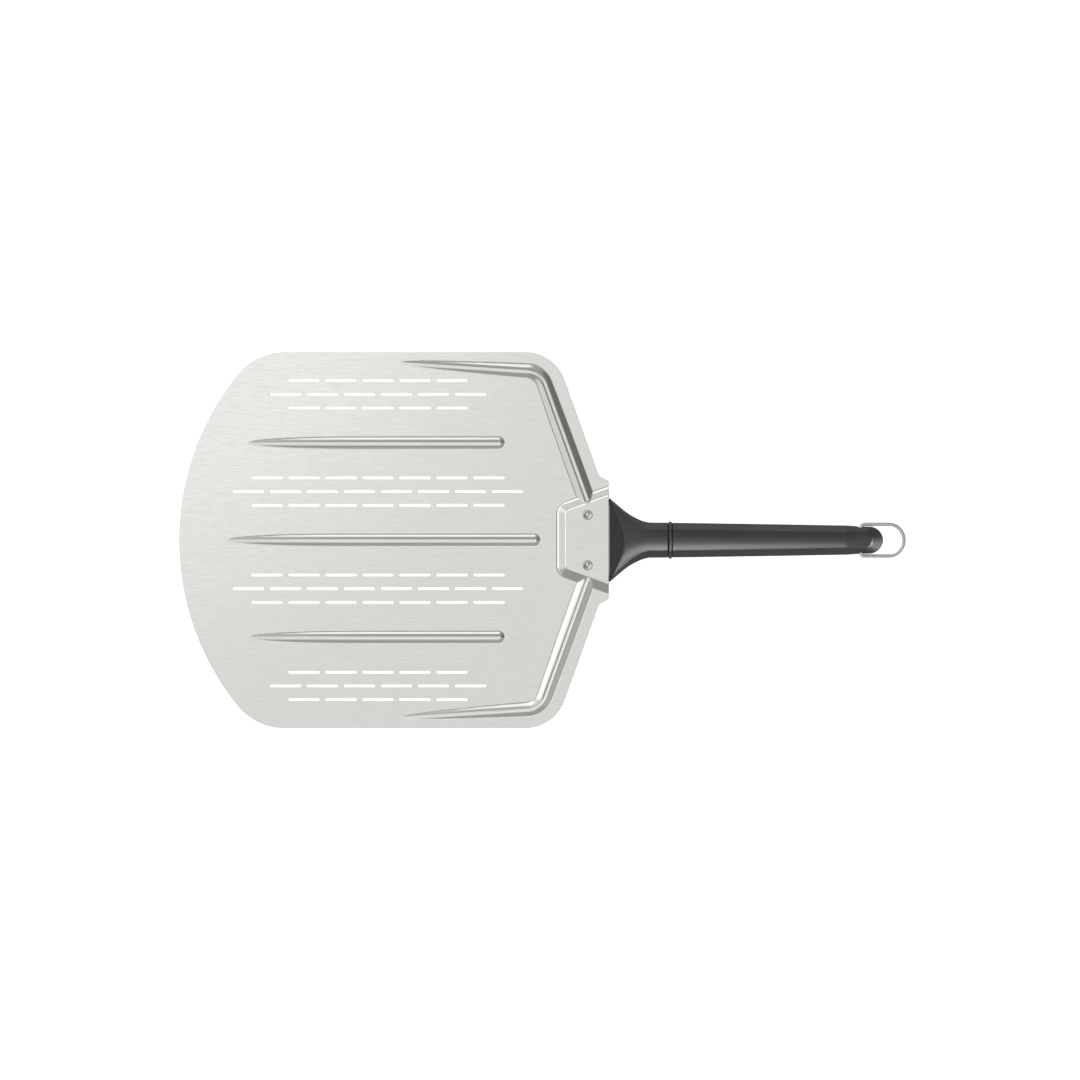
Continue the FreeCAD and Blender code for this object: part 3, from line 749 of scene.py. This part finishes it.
def skin(stations, sections):
    """A closed tube through sections at x stations, with flat ends."""
    points = []
    for x, section in zip(stations, sections):
        points += [(x, y, z) for y, z in section]
    return points, tube_faces(len(stations), len(sections[0]))


def round_ends(stations, sections, front, rear):
    """Adds smaller sections at both ends, so that the end edges are rounded by those radii."""
    stations, sections = list(stations), list(sections)
    angles = np.linspace(0, math.pi / 2, 5)[:-1]
    for radius, direction in ((front, 1), (rear, -1)):
        x, section = stations[0], sections[0]
        centre = (section.max(axis=0) + section.min(axis=0)) / 2
        half = np.abs(section - centre).max(axis=0)
        places = [x + direction * radius * (1 - math.cos(angle)) for angle in angles]
        insets = [radius * (1 - math.sin(angle)) for angle in angles]
        small = [centre + (section - centre) * (1 - inset / half) for inset in insets]
        stations = (places + [x + direction * radius] + stations[1:])[::-1]
        sections = (small + sections)[::-1]
    return stations, sections


def tongue_outline(z):
    """The tongue in plan at a height: it narrows upward, as the housing's walls do."""
    share = z / HOUSING_RISE
    left = ROOF_LEFT - WALL_RUN * (1 - share) + TONGUE_GAP
    edge = ROOF_REAR_Y + WALL_RUN * SLANT_STRETCH * (1 - share) - TONGUE_GAP
    front_y = edge + ROOF_SLOPE * (left - REAR_X)
    waist_x = REAR_X - (edge - TONGUE_REAR_Y) / ROOF_SLOPE
    overlap, waist_radius, front_radius = 0.0005, 0.004, 0.008
    root_x = NECK_FRONT_X + overlap
    route = [Vector((root_x, 0.0)), Vector((root_x, TONGUE_REAR_Y)), Vector((waist_x, TONGUE_REAR_Y))]
    route += [Vector((left, front_y)), Vector((left, 0.0))]
    loop = route[:2] + round_corner(*route[1:4], waist_radius, 4)
    loop += round_corner(*route[2:5], front_radius, 8)
    other = [Vector((p.x, -p.y)) for p in loop[:0:-1]]
    return np.array(loop + other)


def add_ring(points, loop, z):
    """Adds a loop at one height to the points and returns its indices."""
    start = len(points)
    points += [(x, y, z) for x, y in loop]
    return list(range(start, start + len(loop)))


def plate_faces(points, outer, holes, hole_radius, flip):
    """Triangles of a flat face between an outline and the two rivet holes."""
    indices = outer + [k for hole in holes for k in hole]
    flat = [Vector(points[k][:2]) * TO_MM for k in indices]
    _, edges = loop_edges([len(ring) for ring in [outer] + holes])
    _, _, found, origins, _, _ = delaunay_2d_cdt(flat, edges, [], 0, MERGE_DISTANCE)
    outline = np.array([points[k][:2] for k in outer])
    faces = []
    for face in found:
        own = [indices[origins[k][0]] for k in face]
        centre = np.mean([points[k][:2] for k in own], axis=0)
        in_hole = math.hypot(centre[0] - RIVET_X, abs(centre[1]) - RIVET_Y) < hole_radius
        if inside_loop(centre[None, :], outline)[0] and not in_hole:
            faces.append(tuple(own[::-1] if flip else own))
    return faces


def tongue_parts():
    """The neck's tongue under the blade's housing: a tapered plate with two stepped holes."""
    points, faces = [], []
    bottom, top = (add_ring(points, tongue_outline(z), z) for z in (0.0, TONGUE_HEIGHT))
    hole_rows = [(POCKET_RADIUS, 0.0), (POCKET_RADIUS, POCKET_DEPTH)]
    hole_rows += [(SHANK_HOLE_RADIUS, POCKET_DEPTH), (SHANK_HOLE_RADIUS, TONGUE_HEIGHT)]
    mouths, exits = [], []
    for side in (-1, 1):
        rings = []
        for radius, z in hole_rows:
            rings.append(add_ring(points, circle_loop(RIVET_X, side * RIVET_Y, radius), z))
        mouths.append(rings[0])
        exits.append(rings[-1])
        for first, second in zip(rings, rings[1:]):
            faces += [face[::-1] for face in strip_faces(first, second)]
    faces += strip_faces(bottom, top)
    faces += plate_faces(points, bottom, mouths, POCKET_RADIUS, True)
    faces += plate_faces(points, top, exits, SHANK_HOLE_RADIUS, False)
    return points, faces


def build_neck(material):
    """Flared neck with its sloping front face, and the tongue that goes under the blade."""
    shares = np.linspace(0, 1, 48)
    values = curve_through(NECK_SECTIONS, shares)
    stations = NECK_FRONT_X + shares * NECK_LENGTH
    sections = []
    for x, row in zip(stations, values):
        ceiling = BLADE_HIGH.z + (x - NECK_FRONT_X) * RISER_SLOPE
        sections.append(rounded(closed_section(row, ceiling), EDGE_ROUNDING, NECK_POINTS))
    stations, sections = round_ends(stations, sections, FRONT_ROUNDING, SEAM_ROUNDING)
    points, faces = skin(stations, sections)
    tongue_points, tongue_faces = tongue_parts()
    offset = len(points)
    points += tongue_points
    faces += [tuple(k + offset for k in face) for face in tongue_faces]
    piece = make_piece("neck_moulding", points, faces, "peel", "neck", material)
    piece.data.set_sharp_from_angle(angle=math.radians(35))
    return piece


def build_grip(material):
    """Slightly tapered grip, from the joint ring to the end cap."""
    shares = np.linspace(0, 1, 70)
    values = curve_through(GRIP_SECTIONS, shares)
    stations = GRIP_LOW.x + shares * (GRIP_HIGH.x - GRIP_LOW.x)
    sections = [rounded(closed_section(row), EDGE_ROUNDING, SECTION_POINTS) for row in values]
    stations, sections = round_ends(stations, sections, SEAM_ROUNDING, SEAM_ROUNDING)
    points, faces = skin(stations, sections)
    return make_piece("grip_moulding", points, faces, "peel", "grip", material)


def build_ring(material):
    """Half-round ring between two narrow grooves."""
    base = rounded(closed_section(np.array(GRIP_SECTIONS[0][1:])), EDGE_ROUNDING, SECTION_POINTS)
    away = -outward_normals(base)
    half_width = (RING_HIGH.x - RING_LOW.x) / 2
    middle = RING_LOW.x + half_width
    bead = half_width - RING_GROOVE
    angles = np.linspace(-math.pi / 2, math.pi / 2, 15)[1:-1]
    across = [-half_width, -bead] + [bead * math.sin(angle) for angle in angles] + [bead, half_width]
    rises = [RING_BULGE * math.cos(angle) for angle in angles]
    rises = [-GROOVE_DEPTH] * 2 + rises + [-GROOVE_DEPTH] * 2
    stations = [middle + offset for offset in across]
    sections = [base + away * rise for rise in rises]
    points, faces = skin(stations, sections)
    points = [(x, y, max(z, 0.0)) for x, y, z in points]
    return make_piece("joint_ring_bead", points, faces, "peel", "joint_ring", material)


def cap_half_width(x):
    """Half width of the end cap's outline in plan."""
    share = np.clip((x - CAP_X) / (NOSE_X - CAP_X), 0, 1)
    widths = (CAP_SECTIONS[0][1], NOSE_RADIUS, NOSE_RADIUS)
    straight = np.interp(share, (0, FULL_WIDTH_SHARE, 1), widths)
    past = np.clip(x - NOSE_X, 0, NOSE_RADIUS)
    return np.where(x > NOSE_X, np.sqrt(np.clip(NOSE_RADIUS**2 - past**2, 0, None)), straight)


def cap_section(x):
    """Section of the end cap at x: faceted at first, then turning into the domed nose."""
    share = min(max((x - CAP_X) / (NOSE_X - CAP_X), 0.0), 1.0)
    values = curve_through(CAP_SECTIONS, np.array([share]))[0]
    _, face, crest, edge, side, under, under_edge, bottom = values
    half = float(cap_half_width(np.array(x)))
    spread = np.sin(np.linspace(-math.pi / 2, math.pi / 2, 61)) * half
    inner_x = NOSE_X - NOSE_FACE_SETBACK
    loops = []
    for edge_z, tip_z, inner in ((edge, crest, face), (under_edge, bottom, under)):
        limit = NOSE_RADIUS if x > NOSE_X else half
        to_silhouette = np.clip(limit - np.hypot(max(x - NOSE_X, 0.0), spread), 0, None)
        to_face = np.clip(np.hypot(max(x - inner_x, 0.0), spread) - inner, 0, None)
        share_in = to_silhouette / np.clip(to_silhouette + to_face, 1e-9, None)
        crown = (tip_z - edge_z) * np.clip(1 - (spread / inner) ** 2, 0, None) * (share_in >= 1)
        loops.append(np.stack([spread, side + (edge_z - side) * share_in + crown], axis=1))
    return np.concatenate([loops[0][::-1], loops[1][1:-1]])


def build_cap(material):
    """End cap with a domed nose and a bore with a flared mouth on each side."""
    steps, tip_share = 40, 0.99995
    straight = np.linspace(CAP_X, NOSE_X, steps, endpoint=False)
    nose = NOSE_X + NOSE_RADIUS * np.sin(np.linspace(0, math.pi / 2, steps)[:-1])
    tip = [NOSE_X + NOSE_RADIUS * tip_share]
    stations = np.concatenate([straight, nose, tip])
    sections = []
    for x in stations:
        width = min(EDGE_ROUNDING, float(cap_half_width(np.array(x))) * 0.5)
        loop = rounded(cap_section(x), width, SECTION_POINTS)
        top = np.argmax(loop[:, 1] - np.abs(loop[:, 0]))
        sections.append(np.roll(loop, -top, axis=0))
    points, faces = skin(stations, sections)
    piece = make_piece("end_cap_moulding", points, faces, "peel", "end_cap", material)
    cut_bores(piece)
    return piece


def cut_bores(piece):
    """Cuts the two wire bores and their flared mouths out of the end cap."""
    for side in (-1, 1):
        points, faces = lathe([(0, 0, [(radius, -reach) for radius, reach in BORE_PROFILE])], 40)
        placed = [(PIVOT.x + x, -side * z, PIVOT.z + y) for x, y, z in points]
        mesh = bpy.data.meshes.new("bore")
        mesh.from_pydata(placed, [], faces)
        cutter = new_object("bore", mesh)
        modifier = piece.modifiers.new("bore", "BOOLEAN")
        modifier.operation = "DIFFERENCE"
        modifier.solver = "EXACT"
        modifier.object = cutter
        apply_modifiers(piece)
        bpy.data.objects.remove(cutter)
    piece.data.shade_smooth()
    piece.data.set_sharp_from_angle(angle=math.radians(40))


def apply_modifiers(piece):
    """Makes the result of a piece's modifiers its own mesh."""
    graph = bpy.context.evaluated_depsgraph_get()
    mesh = bpy.data.meshes.new_from_object(piece.evaluated_get(graph))
    piece.modifiers.clear()
    piece.data = mesh


# --- hanging loop ---


def loop_route():
    """Centre line of the wire, from one end in the cap round to the other."""
    tip_reach = LOOP_HIGH.x - WIRE_RADIUS - PIVOT.x
    drop = PIVOT.z - WIRE_RADIUS
    length = math.hypot(tip_reach, drop)
    leg = length - LOOP_HALF_WIDTH
    bend_y = LOOP_HALF_WIDTH - LOOP_BEND_RADIUS
    half = [(0.0, LOOP_END_Y), (0.0, (LOOP_END_Y + bend_y) / 2)]
    for angle in np.linspace(0, math.pi / 2, 13):
        u = LOOP_BEND_RADIUS * (1 - math.cos(angle))
        half.append((u, bend_y + LOOP_BEND_RADIUS * math.sin(angle)))
    for share in (0.25, 0.5, 0.75):
        half.append((LOOP_BEND_RADIUS + (leg - LOOP_BEND_RADIUS) * share, LOOP_HALF_WIDTH))
    for angle in np.linspace(math.pi / 2, 0, 25)[:-1]:
        half.append((leg + LOOP_HALF_WIDTH * math.cos(angle), LOOP_HALF_WIDTH * math.sin(angle)))
    flat = half + [(length, 0.0)] + [(u, -v) for u, v in half[::-1]]
    droop = math.atan2(drop, tip_reach)
    return [Vector((PIVOT.x + u * math.cos(droop), v, PIVOT.z - u * math.sin(droop))) for u, v in flat]


def build_loop(material):
    """Wire loop: a round tube along the route."""
    route = loop_route()
    across = (route[len(route) // 2] - PIVOT).cross(Vector((0, 1, 0))).normalized()
    sides = 28
    count = len(route)
    points = []
    for i, point in enumerate(route):
        ahead = (route[min(i + 1, count - 1)] - route[max(i - 1, 0)]).normalized()
        beside = ahead.cross(across)
        for k in range(sides):
            angle = 2 * math.pi * k / sides
            points.append(point + (across * math.cos(angle) + beside * math.sin(angle)) * WIRE_RADIUS)
    faces = tube_faces(count, sides)
    piece = make_piece("loop_wire", points, faces, "loop", "hanging_loop", material)
    piece.data.set_sharp_from_angle(angle=math.radians(60))
    return piece


# --- materials ---


class Graph:
    """Short names for making a node tree."""

    def __init__(self, tree):
        self.nodes = tree.nodes
        self.links = tree.links

    def node(self, kind, inputs=None, **settings):
        made = self.nodes.new(kind)
        for name, value in settings.items():
            setattr(made, name, value)
        for key, value in (inputs or {}).items():
            if isinstance(value, bpy.types.NodeSocket):
                self.links.new(value, made.inputs[key])
            else:
                made.inputs[key].default_value = value
        return made

    def math(self, operation, a, b):
        return self.node("ShaderNodeMath", {0: a, 1: b}, operation=operation).outputs[0]

    def noise(self, scale, detail, squash=(1, 1, 1), roughness=0.5):
        place = self.node("ShaderNodeTexCoord").outputs["Object"]
        mapped = self.node("ShaderNodeMapping", {"Vector": place, "Scale": squash}).outputs[0]
        inputs = {"Vector": mapped, "Scale": scale, "Detail": detail, "Roughness": roughness}
        return self.node("ShaderNodeTexNoise", inputs).outputs[0]

    def ramp(self, value, low, high, out_low, out_high):
        inputs = {0: value, 1: low, 2: high, 3: out_low, 4: out_high}
        return self.node("ShaderNodeMapRange", inputs).outputs[0]

    def mix(self, share, a, b):
        return self.node("ShaderNodeMix", {0: share, 6: a, 7: b}, data_type="RGBA").outputs[2]


def new_material(name):
    """A material, its node graph and its shader node."""
    material = bpy.data.materials.new(name)
    material.use_nodes = True
    graph = Graph(material.node_tree)
    shader = material.node_tree.nodes["Principled BSDF"]
    return material, graph, shader


def steel(name, colour, roughness, grain_squash, grain_strength):
    """Metal with a directional grain in colour, roughness and bump, and faint cloudiness."""
    material, graph, shader = new_material(name)
    fine = graph.noise(1400, 3, grain_squash, 0.6)
    broad = graph.noise(760, 2, grain_squash, 0.5)
    cloud = graph.noise(14, 2)
    grain = graph.math("ADD", graph.math("MULTIPLY", fine, 0.6), graph.math("MULTIPLY", broad, 0.4))
    tone = graph.ramp(grain, 0.3, 0.7, 1 - grain_strength, 1.0)
    tone = graph.math("MULTIPLY", tone, graph.ramp(cloud, 0.3, 0.7, 0.985, 1.0))
    shader.inputs["Metallic"].default_value = 1.0
    graph.links.new(graph.mix(tone, (0, 0, 0, 1), colour + (1,)), shader.inputs["Base Color"])
    gloss = graph.ramp(grain, 0.3, 0.7, roughness * 1.15, roughness * 0.85)
    graph.links.new(gloss, shader.inputs["Roughness"])
    bump = graph.node("ShaderNodeBump", {"Strength": 0.035, "Distance": 0.00002, "Height": grain})
    graph.links.new(bump.outputs[0], shader.inputs["Normal"])
    return material


def plastic(name):
    """Black satin moulded plastic with a fine texture, and painted shade on faces that look at the
    blade.
    """
    material, graph, shader = new_material(name)
    grain = graph.noise(5200, 2)
    cloud = graph.noise(60, 3)
    tone = graph.ramp(cloud, 0.3, 0.7, 0.0, 1.0)
    colour = graph.mix(tone, (0.034, 0.034, 0.032, 1), (0.040, 0.040, 0.038, 1))
    facing = graph.node("ShaderNodeNewGeometry").outputs["Normal"]
    toward_grip = graph.node("ShaderNodeSeparateXYZ", {0: facing}).outputs[0]
    # Painted shade: faces turned toward the blade, such as the neck's riser, get a darker colour and
    # less gloss.
    riser_painted_shade = graph.ramp(toward_grip, -0.65, -0.45, 1.0, 0.0)
    colour = graph.mix(riser_painted_shade, colour, (0.011, 0.011, 0.01, 1))
    graph.links.new(colour, shader.inputs["Base Color"])
    graph.links.new(graph.ramp(grain, 0.3, 0.7, 0.34, 0.42), shader.inputs["Roughness"])
    graph.links.new(graph.ramp(riser_painted_shade, 0.0, 1.0, 0.5, 0.28), shader.inputs["Specular IOR Level"])
    bump = graph.node("ShaderNodeBump", {"Strength": 0.12, "Distance": 0.00003, "Height": grain})
    graph.links.new(bump.outputs[0], shader.inputs["Normal"])
    return material


# --- stage ---


def direction(azimuth, from_zenith):
    """Unit vector at an azimuth from +X and an angle from straight up, in degrees."""
    a, z = math.radians(azimuth), math.radians(from_zenith)
    return (math.sin(z) * math.cos(a), math.sin(z) * math.sin(a), math.cos(z))


# Soft panels of the studio: azimuth, angle from straight up, full out to this angle, faded out
# at this one, strength. A panel with a negative strength is a dark card.
BASE_LIGHT = 0.39
PANELS = (
    (-68, 14, 8, 35, 0.43),
    (-22, 25, 8, 18, 0.34),
    (22, 25, 5, 14, 0.24),
    (-88, 22, 5, 14, 0.10),
    (-82, 40, 4, 21, 0.20),
    (97, 88, 18, 29, 0.80),
    (130, 48, 20, 30, 0.32),
    (170, 55, 16, 28, 0.38),
    (158, 92, 22, 34, 0.50),
    (116, 84, 10, 20, 0.8),
    (145, 84, 8, 17, 0.5),
    (176, 84, 10, 20, 0.7),
    (206, 78, 14, 28, 0.34),
    (-28, 75, 10, 22, 0.12),
    (172, 18, 4, 12, -0.14),
    (183, 27, 9, 18, -0.28),
    (18, 72, 12, 42, -0.22),
    (90, 32, 4, 18, -0.10),
    (-118, 56, 8, 26, -0.06),
)


def build_world():
    """Even studio light, with soft panels added to it or taken from it."""
    world = bpy.data.worlds.new("studio")
    bpy.context.scene.world = world
    world.use_nodes = True
    graph = Graph(world.node_tree)
    place = graph.node("ShaderNodeTexCoord").outputs["Generated"]
    total = graph.node("ShaderNodeValue").outputs[0]
    total.default_value = BASE_LIGHT
    for azimuth, zenith, inner, outer, strength in PANELS:
        aim = {0: place, 1: direction(azimuth, zenith)}
        closeness = graph.node("ShaderNodeVectorMath", aim, operation="DOT_PRODUCT").outputs["Value"]
        span = {0: closeness, 1: math.cos(math.radians(outer)), 2: math.cos(math.radians(inner))}
        lit = graph.node("ShaderNodeMapRange", span, interpolation_type="SMOOTHERSTEP").outputs[0]
        total = graph.math("ADD", total, graph.math("MULTIPLY", lit, strength))
    colour = graph.node("ShaderNodeCombineColor", {0: total, 1: total, 2: total}).outputs[0]
    graph.links.new(colour, graph.nodes["Background"].inputs["Color"])


def add_light(name, place, target, size, power):
    """A soft rectangular light that the camera doesn't see."""
    data = bpy.data.lights.new(name, "AREA")
    data.shape = "RECTANGLE"
    data.size, data.size_y = size
    data.energy = power
    light = new_object(name, data)
    light.location = place
    light.visible_camera = False
    light.rotation_euler = (Vector(target) - Vector(place)).to_track_quat("-Z", "Y").to_euler()
    return light


def light_only_the_handle(handle, lights):
    """Gloss lights for the black plastic, which don't reach the steel."""
    receivers = bpy.data.collections.new("handle_pieces")
    for piece in handle:
        receivers.objects.link(piece)
    for light in lights:
        light.visible_diffuse = False
        light.light_linking.receiver_collection = receivers


def build_floor():
    """Plain white table, lit from within a little as a light table is."""
    half_size, steps, drop = 30.0, 12, 0.0002
    line = np.linspace(-half_size, half_size, steps + 1)
    points = [(x, y, -drop) for y in line for x in line]
    starts = [row * (steps + 1) + column for row in range(steps) for column in range(steps)]
    faces = [(k, k + 1, k + steps + 2, k + steps + 1) for k in starts]
    mesh = bpy.data.meshes.new("floor")
    mesh.from_pydata(points, [], faces)
    floor = new_object("floor", mesh)
    material, graph, shader = new_material("table")
    tone = graph.ramp(graph.noise(3, 2), 0.3, 0.7, 0.88, 0.9)
    colour = graph.node("ShaderNodeCombineColor", {0: tone, 1: tone, 2: tone}).outputs[0]
    graph.links.new(colour, shader.inputs["Base Color"])
    shader.inputs["Roughness"].default_value = 0.9
    shader.inputs["Emission Strength"].default_value = 0.8
    mesh.materials.append(material)
    floor.visible_glossy = False


def build_camera():
    """Straight down on the peel, far off, as in a product photograph."""
    height = 6.6
    view_width = 0.9474
    aside_x, aside_y = -0.0021, 0.0001
    data = bpy.data.cameras.new("camera")
    data.sensor_width = 36.0
    data.lens = data.sensor_width * height / view_width
    data.clip_end = 100.0
    camera = new_object("camera", data)
    low, high = cad_bounds
    camera.location = ((low.x + high.x) / 2 + aside_x, aside_y, height)
    bpy.context.scene.camera = camera


def dress_cad_node(name, material):
    """Gives a CAD node that stays visible its finished material."""
    node = frame["nodes"][name]
    node.data.materials.clear()
    node.data.materials.append(material)


def main():
    """Materials, pieces, light, table and camera."""
    blade_steel = steel("blade_steel", (0.86, 0.851, 0.818), 0.20, (0.1, 1, 1), 0.07)
    wire_steel = steel("wire_steel", (0.80, 0.785, 0.755), 0.33, (0.2, 1, 1), 0.10)
    rivet_steel = steel("rivet_steel", (0.80, 0.79, 0.78), 0.16, (1, 1, 1), 0.10)
    tang_steel = steel("tang_steel", (0.62, 0.62, 0.61), 0.38, (0.3, 1, 1), 0.2)
    black_plastic = plastic("handle_plastic")
    build_blade(blade_steel)
    build_rivets(rivet_steel)
    handle = [build(black_plastic) for build in (build_neck, build_ring, build_grip, build_cap)]
    build_loop(wire_steel)
    dress_cad_node("tang", tang_steel)
    dress_cad_node("rivet_washers", rivet_steel)
    dress_cad_node("grip_screws", rivet_steel)
    build_world()
    add_light("blade_fill", (-0.50, 0.36, 3.0), (-0.45, 0.30, 0.0), (0.7, 0.7), 0.6)
    strips = (
        add_light("handle_strip", (0.08, -0.34, 0.60), (0.08, 0, 0.02), (0.40, 0.22), 3.5),
        add_light("neck_strip", (-0.22, 0.0, 0.75), (0.08, 0, 0.01), (0.40, 0.40), 0.3),
        add_light("flare_strip", (-0.14, -0.38, 0.42), (0.08, -0.01, 0.01), (0.20, 0.20), 1.2),
        add_light("nose_strip", (0.455, -0.07, 0.03), (0.28, 0, 0.01), (0.14, 0.14), 1.15),
    )
    light_only_the_handle(handle, strips)
    build_floor()
    build_camera()
    scene = bpy.context.scene
    scene.view_settings.view_transform = "Standard"
    scene.view_settings.look = "None"


main()
